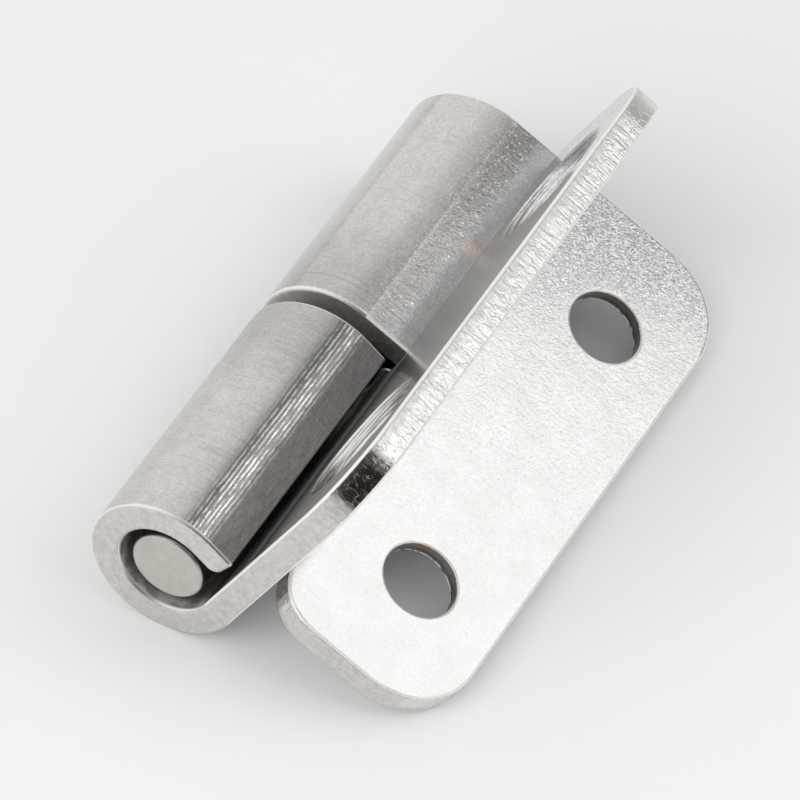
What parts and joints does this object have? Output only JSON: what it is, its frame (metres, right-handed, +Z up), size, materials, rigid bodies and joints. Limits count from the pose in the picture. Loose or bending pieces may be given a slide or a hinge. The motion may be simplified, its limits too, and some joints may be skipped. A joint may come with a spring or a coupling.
{
  "type": "lift-off hinge",
  "caption": "Small lift-off door hinge of folded stainless sheet: flat leaves with dished screw holes, rolled knuckles and a stepped round pin, opened past flat.",
  "frame": {"origin": "on the table, under the middle of the hinge's box as it rests", "axes": "+Y along the pin, from the end where the door leaf lifts off to the end held by the frame leaf; +X from the barrel towards the frame leaf's free edge; +Z up from the table"},
  "size_m": [0.0292, 0.05, 0.0243],
  "materials": {
    "frame_leaf": "satin",
    "door_leaf": "satin",
    "hinge_pin": "satin"
  },
  "bodies": {
    "frame_leaf": {"frame_leaf": "frame_leaf"},
    "hinge_pin": {"hinge_pin": "hinge_pin"},
    "door_leaf": {"door_leaf": "door_leaf"}
  },
  "joints": [
    {"name": "swing", "type": "hinge", "parent": "frame_leaf", "child": "hinge_pin", "pos_m": [-0.00831, 0, 0.00625], "axis": [0, -1, 0], "range_deg": [0, 271]},
    {"name": "lift_off", "type": "slide", "parent": "hinge_pin", "child": "door_leaf", "axis": [0, -1, 0], "range_m": [-0.001, 0.03]}
  ]
}
